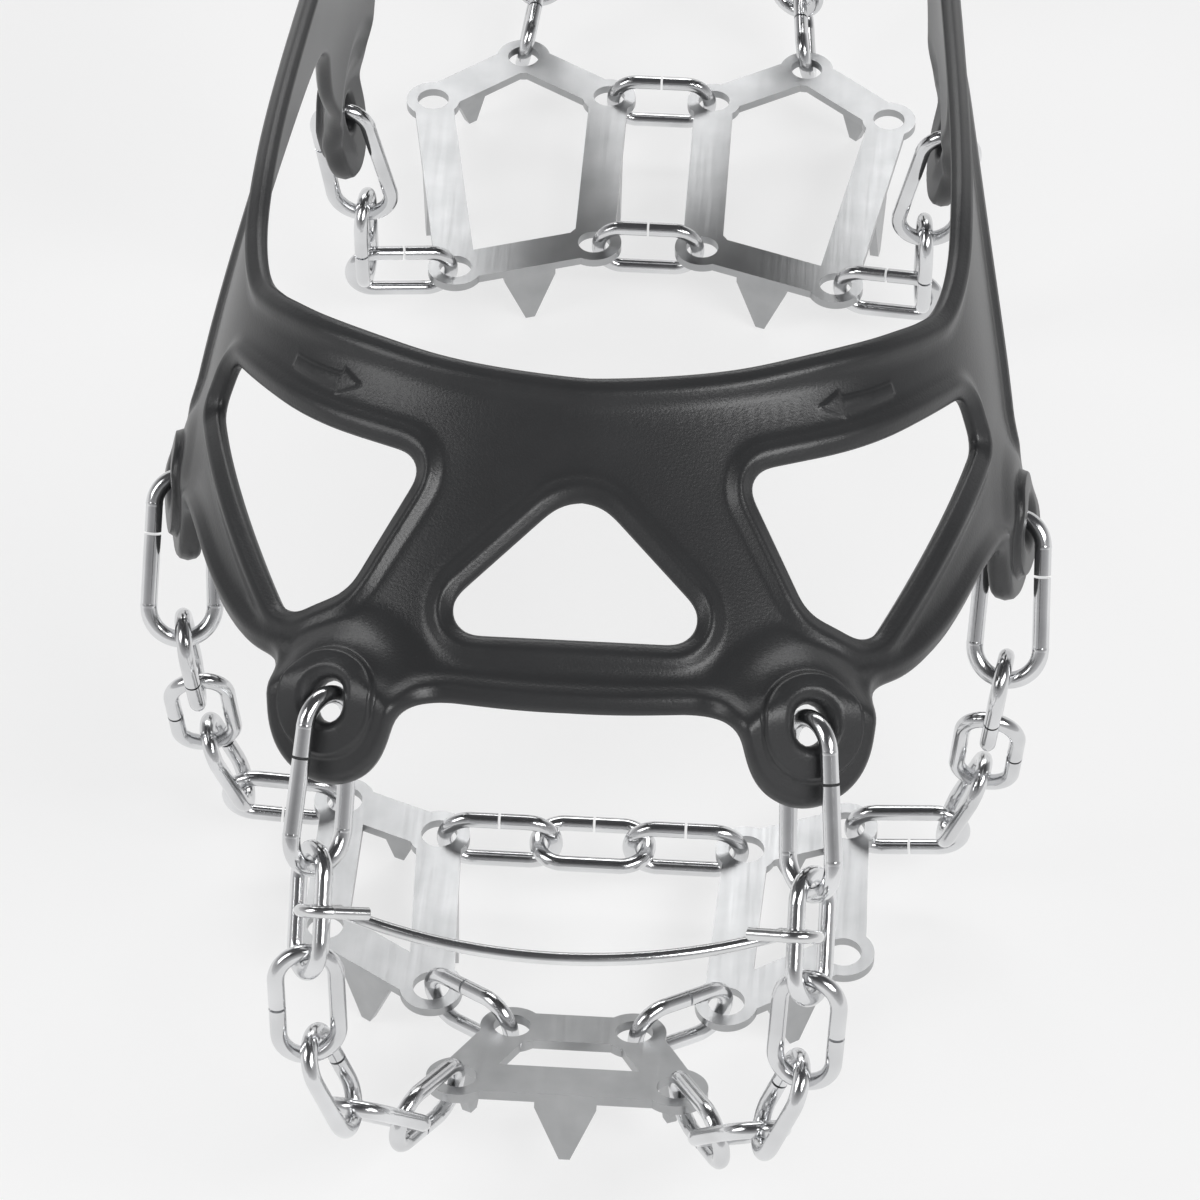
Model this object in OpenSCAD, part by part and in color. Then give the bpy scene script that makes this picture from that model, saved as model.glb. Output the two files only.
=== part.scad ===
// Microspikes: a stretch harness, wire chains and stamped spike plates for one boot.
// Millimetres. +Z is up, the toe points along -Y, the boot is symmetric about X = 0.
// The origin is the middle of the plane the boot sole stands on.

/* [Harness] */
// thickness of the moulded web
web_t = 2.2; // [1.6:0.1:3.2]
// gap between the boot form and the inside of the web
web_gap = 0.8; // [0.4:0.1:1.4]
// radius of an eyelet boss
boss_r = 9.2; // [8:0.1:10.5]
// how far a boss reaches on below its round
boss_drop = 3; // [0.5:0.1:4]
// radius of the raised disc on a boss
disc_r = 7.2; // [6:0.1:8]
// how far the disc reaches on below its round
disc_drop = 1.6; // [0.5:0.1:3]
// thickness of an eyelet boss, disc included
boss_t = 4.2; // [3.6:0.1:4.6]
// step from the boss face to the raised disc
disc_step = 0.8; // [0.4:0.1:1.2]
// radius of the hole through a boss
eye_r = 2.7; // [2.6:0.05:3]

/* [Chain] */
// wire diameter of the chain links
wire_d = 2.4; // [2:0.1:2.6]
// outside length of a chain link
link_l = 19.4; // [18.4:0.1:21]
// outside width of a chain link
link_w = 10.8; // [10.4:0.1:12]
// clear gap left between two touching wires
wire_gap = 0.35; // [0.3:0.05:0.6]
// opening at the butt joint of a link
butt_gap = 0.4; // [0.3:0.1:1]

/* [Eyelet links] */
// wire diameter of the links in the eyelets
eye_d = 2.5; // [2.2:0.1:2.7]
// from the wire in the eyelet to the wire at the bottom of the link
eye_reach = 24.4; // [23:0.1:27]
// bend radius at the eyelet end, to the wire centre
eye_top_r = 4.3; // [4.2:0.1:4.6]
// bend radius at the chain end, to the wire centre
eye_low_r = 4.9; // [4.6:0.1:5.6]
// turn of a front eyelet link about its own length
eye_twist = 16; // [0:1:18]

/* [Toe bar] */
// wire diameter of the bar across the toe
bar_d = 1.8; // [1.4:0.1:2]
// how far the bar bows forward of its ends
bar_bow = 6.5; // [4:0.5:12]
// bend radius of the hook round a link, to the wire centre
hook_r = 3; // [2.8:0.1:3.4]

/* [Spike plates] */
// sheet thickness
plate_t = 1.5; // [1.2:0.1:2]
// height of the middle of the sheet against the sole
plate_z = -6.2; // [-7.5:0.1:-5.8]
// height of the toe plate, lifted by the toe spring of the sole
toe_z = 2; // [1:0.5:4]
// radius of a corner hole
hole_r = 2.75; // [2.6:0.05:3]
// radius of the sheet round a corner hole
lug_r = 4.7; // [4.5:0.1:5.2]
// forward slope of the toe plate
toe_pitch = 14; // [10:1:18]
// distance between the rear holes of the toe plate
toe_rear_w = 18; // [16:0.5:20]
// distance from its front to its rear holes
toe_plate_l = 13.2; // [12:0.2:15]
// width of a strip of a plate
strip_w = 6.8; // [6:0.1:7.6]
// length of a spike below the sheet
spike_h = 10; // [8:0.5:12]
// width of a spike at its root
spike_w = 9; // [7:0.5:10]
// width of a spike at its tip
spike_tip = 1.6; // [1:0.1:2.4]

/* [Hidden] */
$fn = 24;
SIDES = ["left", "right"];
FRONT = ["a", "b", "c", "d", "e", "f"];
SIDE = ["a", "b", "c", "d", "e"];
HEEL = ["a", "b", "c"];
RUBBER = "#2b2c2e";
STEEL = "#c9cdd2";

// ---- directions ----
function unit(v) = v / norm(v);
// right-handed frame with Z along u and X as near w as it can be
function axes(u, w) =
    let (z = unit(u), y = unit(cross(z, w)), x = cross(y, z))
    [x, y, z];
function turn(m) = [
    atan2(m[1][2], m[2][2]),
    -asin(max(-1, min(1, m[0][2]))),
    atan2(m[0][1], m[0][0])
];

module put(at, u, w) {
    translate(at) rotate(turn(axes(u, w))) children();
}

module side_of(s) {
    if (s == "left") mirror([1, 0, 0]) children();
    else children();
}

// ---- boot form the harness is drawn on ----
// half contours from the toe to the heel, one list for each height
LEVELS = [10, 25, 40, 55, 70, 85, 105, 130];
FORM = [
    [[0, -122], [24, -121], [43, -106], [52, -74], [52, -26], [42, 36], [42, 95], [31, 142], [0, 148]],
    [[0, -136], [28, -135], [47, -115], [56, -76], [56, -26], [44, 38], [43, 95], [31, 142], [0, 148]],
    [[0, -136], [28, -135], [48, -114], [58, -72], [60, -24], [48, 42], [45, 95], [31, 141], [0, 147]],
    [[0, -130], [27, -129], [46, -108], [58, -68], [60, -22], [48, 44], [45, 95], [31, 140], [0, 146]],
    [[0, -114], [25, -112], [44, -94], [56, -58], [55, -19], [46, 44], [44, 95], [30, 138], [0, 144]],
    [[0, -82], [22, -80], [39, -69], [51, -43], [50, -10], [45, 46], [43, 94], [29, 136], [0, 142]],
    [[0, -54], [18, -52], [34, -44], [45, -27], [46, 2], [43, 48], [41, 93], [28, 134], [0, 140]],
    [[0, -36], [16, -34], [30, -28], [40, -12], [43, 12], [42, 52], [40, 92], [27, 132], [0, 138]],
];
function bspline(t) =
    [pow(1 - t, 3), 3 * pow(t, 3) - 6 * t * t + 4, -3 * pow(t, 3) + 3 * t * t + 3 * t + 1, pow(t, 3)] / 6;
function ctrl(j, i) =
    let (k = i < 0 ? 1 : i > 8 ? 7 : i, m = (i < 0 || i > 8) ? -1 : 1)
    [m * FORM[j][k][0], FORM[j][k][1], LEVELS[j]];
function net(j, i) =
    j < 0 ? 2 * ctrl(0, i) - ctrl(1, i) : j > 7 ? 2 * ctrl(7, i) - ctrl(6, i) : ctrl(j, i);
function row(j, i, a) =
    a[0] * net(j, i - 1) + a[1] * net(j, i) + a[2] * net(j, i + 1) + a[3] * net(j, i + 2);
function half_form(s, v) =
    let (i = min(floor(s), 7), j = min(floor(v), 6), a = bspline(s - i), b = bspline(v - j))
    b[0] * row(j - 1, i, a) + b[1] * row(j, i, a) + b[2] * row(j + 1, i, a) + b[3] * row(j + 2, i, a);
function form(s, v) = let (p = half_form(abs(s), v)) [s < 0 ? -p[0] : p[0], p[1], p[2]];
function out(s, v) =
    let (e = 0.01, a = form(s + e, v) - form(s - e, v), b = form(s, v + e) - form(s, v - e))
    unit(cross(a, b));

// upper and lower edge of the web: station round the foot, height row of the form
TOP = [[0, 5.52], [0.5, 5.55], [1.5, 5.55], [1.9, 5.48], [2.6, 5.3], [2.85, 5.25], [3.2, 5.33], [3.6, 5.45],
       [4.2, 5.42], [5, 5.3], [6, 5.2], [7, 5.2], [7.5, 5.3], [7.72, 5.75], [8, 5.8]];
LOW = [[0, 4.17], [0.9, 4.15], [1.15, 4.24], [1.62, 4.22], [1.8, 3.86], [2.35, 3.76], [2.8, 3.66], [3.1, 3.45],
       [3.3, 3.34], [3.62, 3.34], [3.8, 3.7], [4, 4.05], [4.3, 4.3], [4.8, 4.25], [5.1, 3.4], [5.3, 1.9],
       [5.7, 1.9], [5.9, 2.9], [6.4, 3.6], [6.85, 3.1], [7.05, 1.9], [7.65, 1.9], [7.85, 2.8], [8, 2.9]];
COLS = 112;
ROWS = 4;
function shell_point(c, r, h) =
    let (
        s = 8 * (2 * c / COLS - 1), lo = lookup(abs(s), LOW), hi = lookup(abs(s), TOP),
        v = lo + (hi - lo) * r / ROWS
    )
    form(s, v) + out(s, v) * h;
function at(c, r, k) = (k * COLS + (c % COLS)) * (ROWS + 1) + r;
CELLS = [for (c = [0 : COLS - 1], r = [0 : ROWS - 1]) [c, r]];

module shell() {
    polyhedron(
        points = [for (k = [0, 1], c = [0 : COLS - 1], r = [0 : ROWS]) shell_point(c, r, web_gap + k * web_t)],
        faces = concat(
            [for (q = CELLS) [at(q[0], q[1], 1), at(q[0], q[1] + 1, 1), at(q[0] + 1, q[1] + 1, 1)]],
            [for (q = CELLS) [at(q[0], q[1], 1), at(q[0] + 1, q[1] + 1, 1), at(q[0] + 1, q[1], 1)]],
            [for (q = CELLS) [at(q[0], q[1], 0), at(q[0] + 1, q[1] + 1, 0), at(q[0], q[1] + 1, 0)]],
            [for (q = CELLS) [at(q[0], q[1], 0), at(q[0] + 1, q[1], 0), at(q[0] + 1, q[1] + 1, 0)]],
            [for (c = [0 : COLS - 1]) [at(c, 0, 0), at(c, 0, 1), at(c + 1, 0, 1)]],
            [for (c = [0 : COLS - 1]) [at(c, 0, 0), at(c + 1, 0, 1), at(c + 1, 0, 0)]],
            [for (c = [0 : COLS - 1]) [at(c, ROWS, 0), at(c + 1, ROWS, 1), at(c, ROWS, 1)]],
            [for (c = [0 : COLS - 1]) [at(c, ROWS, 0), at(c + 1, ROWS, 0), at(c + 1, ROWS, 1)]]
        )
    );
}

// closed outline through sharp corners [x, y, radius], each rounded with short chords
function rounded(p, n = 4) = [
    for (i = [0 : len(p) - 1])
        let (
            c = [p[i][0], p[i][1]], a = p[(i + len(p) - 1) % len(p)], b = p[(i + 1) % len(p)],
            ua = unit([a[0], a[1]] - c), ub = unit([b[0], b[1]] - c),
            half = acos(ua * ub) / 2, mid = c + unit(ua + ub) * p[i][2] / sin(half),
            t0 = c + ua * p[i][2] / tan(half) - mid, t1 = c + ub * p[i][2] / tan(half) - mid,
            g0 = atan2(t0[1], t0[0]), d = (atan2(t1[1], t1[0]) - g0 + 540) % 360 - 180
        )
        for (k = [0 : n]) mid + p[i][2] * [cos(g0 + d * k / n), sin(g0 + d * k / n)]
];

CENTRE_WINDOW = [[-21.8, -22.6, 3.5], [21.8, -22.6, 3.5], [0, -1, 6.5]];
SIDE_WINDOW = [[-41.5, 15.2, 3.5], [-24, 9.1, 14], [-0.8, 6.1, 2.5], [-1.4, -1.3, 2.5], [-41, -13.4, 4], [-46.2, -5, 6]];
TAB_WINDOW = [[-8, 85, 2], [8, 85, 2], [8, 91, 2], [-8, 91, 2]];

module windows() {
    translate([0, 0, 10]) {
        rotate([44, 0, 0]) translate([0, 0, 60]) linear_extrude(120) polygon(rounded(CENTRE_WINDOW));
        for (s = SIDES)
            side_of(s) rotate([48, 0, 48]) translate([0, 0, 40]) linear_extrude(90) polygon(rounded(SIDE_WINDOW));
    }
    translate([0, 165, 0]) rotate([90, 0, 0]) linear_extrude(40) polygon(rounded(TAB_WINDOW));
}

// eyelets: hole centre, way the link hangs, way the hole faces
stand_off = 5.6;
// clear gap above the wire in its eyelet, and how far that lifts the wire over the middle
eye_gap = 1.15;
eye_lift = eye_r - eye_d / 2 - eye_gap;
EYE_FRONT = [[32.6, -106.2, 74.2], [0.061, -0.579, -0.813], [0.41, -0.73, 0.55]];
EYE_SIDE = [[61, -46, 56.5], [-0.01, -0.566, -0.824], [0.975, -0.2, 0.1]];
function eye(s, v, d) = let (n = out(s, v)) [form(s, v) + n * stand_off, d - n * (d * n), n];
EYE_HEEL = eye(5.5, 1.6, [-0.01, 0.1, -0.99]);
EYE_BACK = eye(7.35, 1.6, [0, -0.04, -1]);
EYES = [EYE_FRONT, EYE_SIDE, EYE_HEEL, EYE_BACK];

module capsule(r, drop, h) {
    translate([0, 0, -boss_t / 2]) cylinder(h = h, r = r, $fn = 48);
    translate([-drop, 0, -boss_t / 2]) cylinder(h = h, r = r, $fn = 48);
    translate([-drop, -r, -boss_t / 2]) cube([drop, 2 * r, h]);
}

// boss drawn with its hole along Z and its link hanging towards -X
module boss() {
    capsule(boss_r, boss_drop, boss_t - disc_step);
    capsule(disc_r, disc_drop, boss_t);
    intersection() {
        translate([0, 0, -boss_t / 2 - 3]) cylinder(h = 3.5, r = boss_r - 0.3, $fn = 48);
        translate([3.6, -boss_r, -boss_t - 4]) cube([boss_r, 2 * boss_r, boss_t + 4]);
    }
}

module at_eye(e) {
    put(e[0], e[2], -e[1]) children();
}

module harness() {
    color(RUBBER)
    difference() {
        union() {
            difference() {
                shell();
                windows();
            }
            for (s = SIDES, e = EYES) side_of(s) at_eye(e) boss();
        }
        for (s = SIDES, e = EYES)
            side_of(s) at_eye(e) translate([0, 0, -boss_t / 2 - 1]) cylinder(h = boss_t + 2, r = eye_r);
    }
}

// ---- wire links ----
// wire bend of radius r in the XZ plane, swept over the top from the +X side
module bend(r, d, from, sweep) {
    rotate([90, 0, 0]) rotate([0, 0, from]) rotate_extrude(angle = sweep, $fn = 48) translate([r, 0]) circle(r = d / 2);
}

// ball where a straight wire runs into a bend
module knuckle(d) {
    sphere(r = d / 2 + 0.03);
}

// closed link in the XZ plane, length along Z, butt joint in the +X leg
module wire_link(gap_z = 0) {
    r = (link_w - wire_d) / 2;
    leg = link_l - link_w;
    translate([0, 0, leg / 2]) bend(r, wire_d, 0, 180);
    translate([0, 0, -leg / 2]) bend(r, wire_d, 180, 180);
    translate([-r, 0, -leg / 2]) cylinder(h = leg, r = wire_d / 2);
    translate([r, 0, -leg / 2]) cylinder(h = leg / 2 + gap_z - butt_gap / 2, r = wire_d / 2);
    translate([r, 0, gap_z + butt_gap / 2]) cylinder(h = leg / 2 - gap_z - butt_gap / 2, r = wire_d / 2);
}

// pear shaped link, wire in the eyelet at the origin, hanging along -Z, joint in the +X leg
module eye_link() {
    run = eye_reach - eye_top_r - eye_low_r;
    lean = asin((eye_low_r - eye_top_r) / run);
    leg = run * cos(lean);
    upper = leg * 0.3;
    translate([0, 0, -eye_top_r]) {
        bend(eye_top_r, eye_d, lean, 180 - 2 * lean);
        translate([0, 0, -run]) bend(eye_low_r, eye_d, 180 - lean, 180 + 2 * lean);
        for (q = [lean, 180 - lean]) {
            translate(eye_top_r * [cos(q), 0, sin(q)]) knuckle(eye_d);
            translate([0, 0, -run] + eye_low_r * [cos(q), 0, sin(q)]) knuckle(eye_d);
        }
        rotate([0, -lean, 0]) translate([eye_top_r, 0, butt_gap - upper]) cylinder(h = upper - butt_gap, r = eye_d / 2);
        rotate([0, -lean, 0]) translate([eye_top_r, 0, -leg]) cylinder(h = leg - upper, r = eye_d / 2);
        rotate([0, lean, 0]) translate([-eye_top_r, 0, -leg]) cylinder(h = leg, r = eye_d / 2);
    }
}

// ---- chain runs, given for the right side ----
// crossing wires lie one gap apart along their common normal; a link is [top wire, way it runs, way its leg faces]
cross_by = wire_d + wire_gap;
pitch = link_l - wire_d - cross_by;
reach = link_l - wire_d;
function swing(w, u, t) = w * cos(t) + cross(u, w) * sin(t);
function towards(n, d) = n * d < 0 ? -n : n;
function run(q, u0, w0, us, ts, i = 0) =
    i == len(us) ? [] :
    let (
        u = unit(us[i]), w = swing(unit(cross(u, w0)), u, ts[i]),
        t = q - cross_by * towards(unit(cross(w0, w)), u0 + u)
    )
    concat([[t, u, w]], run(t + reach * u, u, w, us, ts, i + 1));
function foot(m) = m[0] + m[1] * reach;
function to_plate(q, h, z) = let (dz = z - q[2], k = unit(h) * sqrt(pitch * pitch - dz * dz)) [k[0], k[1], dz] / pitch;
// run below eyelet e whose own link is turned by twist: directions us, turns ts, then along h to a plate at height z
function chain(e, twist, us, ts, h, z) =
    let (
        u = unit(e[1]), a = axes(-u, e[2]), w = swing(a[0], a[2], twist),
        r = run(e[0] + u * (eye_reach - eye_lift - (eye_d - wire_d) / 2), u, w, us, ts), m = r[len(r) - 1]
    )
    concat(r, run(foot(m), m[1], m[2], [to_plate(foot(m), h, z)], [ts[len(us)]]));

FRONT_RUN = chain(EYE_FRONT, eye_twist,
                  [[0, -0.725, -0.689], [-0.04, -0.25, -0.967], [-0.32, 0, -0.947], [-0.456, 0.49, -0.743]],
                  [-20, -20, -20, -20, -20], [-0.43, 0.9], toe_z);
SIDE_RUN = chain(EYE_SIDE, 0, [[-0.06, 0.2, -0.975], [-0.05, 0.2, -0.975], [-0.3, 0.15, -0.94]],
                 [0, 0, 0, 0], [-1, 0.05], plate_z);
HEEL_RUN = chain(EYE_HEEL, 0, [[0, 0.05, -1]], [0, 0], [-1, 0.2], plate_z);
BACK_RUN = chain(EYE_BACK, 0, [[0, -0.05, -1]], [0, 5], [0.08, -1], plate_z);
// wires pull against the near side of their corner holes, less so where link and sheet are not parallel
seat_gap = 0.75;
slope_gap = 1.15;
seat = hole_r - wire_d / 2 - seat_gap;
slope_seat = hole_r - wire_d / 2 - slope_gap;
F_HOLE = foot(FRONT_RUN[4]) + FRONT_RUN[4][1] * seat;
S_HOLE = foot(SIDE_RUN[3]) + SIDE_RUN[3][1] * seat;
H_HOLE = foot(HEEL_RUN[1]) + HEEL_RUN[1][1] * seat;
B_HOLE = foot(BACK_RUN[1]) + BACK_RUN[1][1] * slope_seat;
// 1 puts the butt joint in the leg the link faces with, -1 in the other leg
FRONT_JOINT = [1, -1, 1, 1, 1];
SIDE_JOINT = [1, -1, 1, 1];
HEEL_JOINT = [1, 1];

module run_link(m, joint) {
    put(m[0] + m[1] * reach / 2, -m[1], m[2] * joint) wire_link();
}

module eye_link_at(e, twist = 0) {
    put(e[0] - unit(e[1]) * eye_lift, -e[1], e[2]) rotate([0, 0, twist]) eye_link();
}

module front_link(k) {
    if (k == 0) eye_link_at(EYE_FRONT, eye_twist);
    else run_link(FRONT_RUN[k - 1], FRONT_JOINT[k - 1]);
}

module side_link(k) {
    if (k == 0) eye_link_at(EYE_SIDE);
    else run_link(SIDE_RUN[k - 1], SIDE_JOINT[k - 1]);
}

module heel_side_link(k) {
    if (k == 0) eye_link_at(EYE_HEEL);
    else run_link(HEEL_RUN[k - 1], HEEL_JOINT[k - 1]);
}

module heel_back_link(k) {
    if (k == 0) eye_link_at(EYE_BACK);
    else run_link(BACK_RUN[k - 1], HEEL_JOINT[k - 1]);
}

// ---- toe bar, hooked round the front leg of link b on each side ----
B_LINK = FRONT_RUN[0];
B_AXES = axes(-B_LINK[1], B_LINK[2]);
BAR_LEG = B_LINK[0] + B_LINK[1] * reach / 2 + B_AXES[0] * (link_w - wire_d) / 2;
function hook_point(x, y) = BAR_LEG + B_AXES[0] * x + B_AXES[1] * y;
BAR_END = hook_point(-hook_r, -4);

module rod(a, b, d) {
    put(a, b - a, [0.3, 0.5, 0.81]) cylinder(h = norm(b - a), r = d / 2);
}

module toe_bar() {
    half = BAR_END[0];
    r = (half * half + bar_bow * bar_bow) / (2 * bar_bow);
    span = asin(half / r);
    color(STEEL) {
        translate([0, BAR_END[1] - bar_bow + r, BAR_END[2]])
            rotate([0, 0, 270 - span]) rotate_extrude(angle = 2 * span, $fn = 96) translate([r, 0]) circle(r = bar_d / 2);
        for (s = SIDES) side_of(s) {
            for (q = [BAR_END, hook_point(-hook_r, 0), hook_point(hook_r, 0)]) translate(q) knuckle(bar_d);
            rod(BAR_END, hook_point(-hook_r, 0), bar_d);
            put(BAR_LEG, B_AXES[2], B_AXES[0])
                rotate_extrude(angle = 180, $fn = 48) translate([hook_r, 0]) circle(r = bar_d / 2);
            rod(hook_point(hook_r, -5.5), hook_point(hook_r, 0), bar_d);
        }
    }
}

// ---- spike plates: a frame of strips between corner lugs, spikes folded down ----
// corners in order round the frame; spikes on the strips listed in at
module frame(p, at) {
    n = len(p);
    difference() {
        union() {
            for (i = [0 : n - 1]) {
                q = p[(i + 1) % n];
                a = atan2(q[1] - p[i][1], q[0] - p[i][0]);
                d = norm(q - p[i]);
                translate([p[i][0], p[i][1], -plate_t / 2]) cylinder(h = plate_t, r = lug_r, $fn = 48);
                translate([p[i][0], p[i][1], -plate_t / 2]) rotate([0, 0, a]) translate([0, -strip_w / 2, 0]) cube([d, strip_w, plate_t]);
            }
            for (i = at) {
                q = p[(i + 1) % n];
                a = atan2(q[1] - p[i][1], q[0] - p[i][0]);
                translate([(p[i][0] + q[0]) / 2, (p[i][1] + q[1]) / 2, 0]) rotate([0, 0, a]) spike();
            }
        }
        for (c = p) translate([c[0], c[1], -plate_t]) cylinder(h = 2 * plate_t, r = hole_r);
    }
}

// spike folded down at the outer edge of a strip that runs along X
module spike() {
    w = spike_w / 2;
    e = spike_tip / 2;
    translate([0, plate_t - strip_w / 2, -plate_t / 2]) rotate([90, 0, 0]) linear_extrude(plate_t)
        polygon([[-w, plate_t], [w, plate_t], [w, -1], [e, -spike_h], [-e, -spike_h], [-w, -1]]);
}

TOE_REAR = [toe_rear_w / 2, F_HOLE[1] + toe_plate_l * cos(toe_pitch), F_HOLE[2] - toe_plate_l * sin(toe_pitch)];
toe_drop = TOE_REAR[2] - plate_z;
toe_flat = sqrt(pow(reach + 2 * slope_seat, 2) - toe_drop * toe_drop);
BALL_FRONT = [TOE_REAR[0] + toe_flat * 0.76, TOE_REAR[1] + toe_flat * 0.65, plate_z];
BALL_INNER = [1.5 * reach - cross_by + seat, S_HOLE[1] - 6];
BALL = [[BALL_FRONT[0], BALL_FRONT[1]], [BALL_FRONT[0] + 17, BALL_FRONT[1] + 11], [S_HOLE[0], S_HOLE[1]], BALL_INNER];
HEEL_A = [reach / 2 + seat, H_HOLE[1] + 8];
HEEL_B = [reach / 2 + seat, B_HOLE[1] - 10];
HEELP = [HEEL_A, [H_HOLE[0], H_HOLE[1]], [B_HOLE[0] + 15, B_HOLE[1] - 13], [B_HOLE[0], B_HOLE[1]], HEEL_B];

module toe_plate() {
    color(STEEL)
    translate([0, F_HOLE[1], F_HOLE[2]]) rotate([-toe_pitch, 0, 0])
        frame([[-F_HOLE[0], 0], [F_HOLE[0], 0], [TOE_REAR[0], toe_plate_l], [-TOE_REAR[0], toe_plate_l]], [0, 1, 3]);
}

module ball_plate() {
    color(STEEL) translate([0, 0, plate_z]) frame(BALL, [0, 1, 2, 3]);
}

module heel_plate() {
    color(STEEL) translate([0, 0, plate_z]) frame(HEELP, [0, 1, 2, 4]);
}

module hole_link(a, b) {
    color(STEEL) put((a + b) / 2, a - b, [0, 0, 1]) wire_link();
}

module toe_ball_link() {
    hole_link(TOE_REAR, BALL_FRONT);
}

module ball_cross_link() {
    a = [BALL_INNER[0] - seat, BALL_INNER[1], plate_z];
    hole_link(a, a - [reach, 0, 0]);
}

module ball_cross_link_middle() {
    color(STEEL) put([0, BALL_INNER[1], plate_z], [1, 0, 0], [0, 1, 0]) wire_link();
}

module heel_cross_link(y) {
    hole_link([reach / 2, y, plate_z], [-reach / 2, y, plate_z]);
}

harness();
toe_bar();
toe_plate();
ball_cross_link_middle();
heel_cross_link(HEEL_A[1]);  // heel_cross_link_front
heel_cross_link(HEEL_B[1]);  // heel_cross_link_rear
for (s = SIDES) {
    side_of(s) ball_plate();
    side_of(s) heel_plate();
    side_of(s) toe_ball_link();
    side_of(s) ball_cross_link();
    for (k = [0 : len(FRONT) - 1])
        color(STEEL) side_of(s) front_link(k);
    for (k = [0 : len(SIDE) - 1])
        color(STEEL) side_of(s) side_link(k);
    for (k = [0 : len(HEEL) - 1]) {
        color(STEEL) side_of(s) heel_side_link(k);
        color(STEEL) side_of(s) heel_back_link(k);
    }
}
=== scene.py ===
import math
import bpy
import numpy as np
from mathutils import Matrix, Vector, kdtree
from mathutils.geometry import delaunay_2d_cdt


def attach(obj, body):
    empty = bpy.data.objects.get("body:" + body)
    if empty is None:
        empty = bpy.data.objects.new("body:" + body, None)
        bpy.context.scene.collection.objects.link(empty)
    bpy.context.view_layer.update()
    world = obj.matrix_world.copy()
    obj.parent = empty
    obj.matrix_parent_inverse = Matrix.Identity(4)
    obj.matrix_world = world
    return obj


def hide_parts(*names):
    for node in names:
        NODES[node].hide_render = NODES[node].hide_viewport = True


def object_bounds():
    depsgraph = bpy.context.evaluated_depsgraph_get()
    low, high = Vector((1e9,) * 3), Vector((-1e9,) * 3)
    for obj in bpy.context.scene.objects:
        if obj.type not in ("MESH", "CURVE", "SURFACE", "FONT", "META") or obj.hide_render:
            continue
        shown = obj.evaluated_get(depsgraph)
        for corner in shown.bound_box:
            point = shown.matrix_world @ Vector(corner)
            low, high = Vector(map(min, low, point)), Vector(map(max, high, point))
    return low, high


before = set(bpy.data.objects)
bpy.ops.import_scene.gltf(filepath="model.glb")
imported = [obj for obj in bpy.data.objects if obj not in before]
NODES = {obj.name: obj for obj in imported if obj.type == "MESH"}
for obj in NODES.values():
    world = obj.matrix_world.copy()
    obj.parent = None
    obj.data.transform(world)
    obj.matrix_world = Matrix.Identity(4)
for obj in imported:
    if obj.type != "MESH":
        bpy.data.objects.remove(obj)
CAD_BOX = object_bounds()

scene = bpy.context.scene


# ---------------------------------------------------------------- camera
def make_camera():
    """Seen from above the toe, a little to the right, with the target a little off the middle of the frame."""
    az, el, dist = math.radians(4), math.radians(46), 0.760
    target = Vector((0, -0.085, 0.050))
    sensor, lens, off_right, off_up = 36.0, 160.5, 0.6, 3.6  # mm on the sensor
    back = Vector((math.sin(az) * math.cos(el), -math.cos(az) * math.cos(el), math.sin(el)))
    fwd = -back
    right = fwd.cross(Vector((0, 0, 1))).normalized()
    up = right.cross(fwd)
    look = (fwd * lens + right * off_right + up * off_up).normalized()
    data = bpy.data.cameras.new("camera")
    data.sensor_width = sensor
    data.lens = lens
    data.clip_start, data.clip_end = 0.05, 20
    cam = bpy.data.objects.new("camera", data)
    cam.location = target + back * dist
    side = look.cross(up).normalized()
    top = side.cross(look)
    cam.matrix_world = Matrix.Translation(cam.location) @ Matrix((
        (side.x, top.x, -look.x, 0), (side.y, top.y, -look.y, 0), (side.z, top.z, -look.z, 0), (0, 0, 0, 1)))
    scene.collection.objects.link(cam)
    scene.camera = cam


make_camera()

# ---------------------------------------------------------------- boot form, as in the CAD
LEVELS = [10, 25, 40, 55, 70, 85, 105, 130]
FORM = [
    [[0, -122], [24, -121], [43, -106], [52, -74], [52, -26], [42, 36], [42, 95], [31, 142], [0, 148]],
    [[0, -136], [28, -135], [47, -115], [56, -76], [56, -26], [44, 38], [43, 95], [31, 142], [0, 148]],
    [[0, -136], [28, -135], [48, -114], [58, -72], [60, -24], [48, 42], [45, 95], [31, 141], [0, 147]],
    [[0, -130], [27, -129], [46, -108], [58, -68], [60, -22], [48, 44], [45, 95], [31, 140], [0, 146]],
    [[0, -114], [25, -112], [44, -94], [56, -58], [55, -19], [46, 44], [44, 95], [30, 138], [0, 144]],
    [[0, -82], [22, -80], [39, -69], [51, -43], [50, -10], [45, 46], [43, 94], [29, 136], [0, 142]],
    [[0, -54], [18, -52], [34, -44], [45, -27], [46, 2], [43, 48], [41, 93], [28, 134], [0, 140]],
    [[0, -36], [16, -34], [30, -28], [40, -12], [43, 12], [42, 52], [40, 92], [27, 132], [0, 138]],
]


def control_net():
    c = np.array([[[x, y, LEVELS[j]] for x, y in row] for j, row in enumerate(FORM)], float)
    c = np.concatenate([c[:, 1:2] * [-1, 1, 1], c, c[:, 7:8] * [-1, 1, 1]], axis=1)
    return np.concatenate([2 * c[:1] - c[1:2], c, 2 * c[-1:] - c[-2:-1]], axis=0)


NET = control_net()


def basis(t):
    return np.stack([(1 - t) ** 3, 3 * t ** 3 - 6 * t * t + 4, -3 * t ** 3 + 3 * t * t + 3 * t + 1, t ** 3]) / 6


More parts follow.
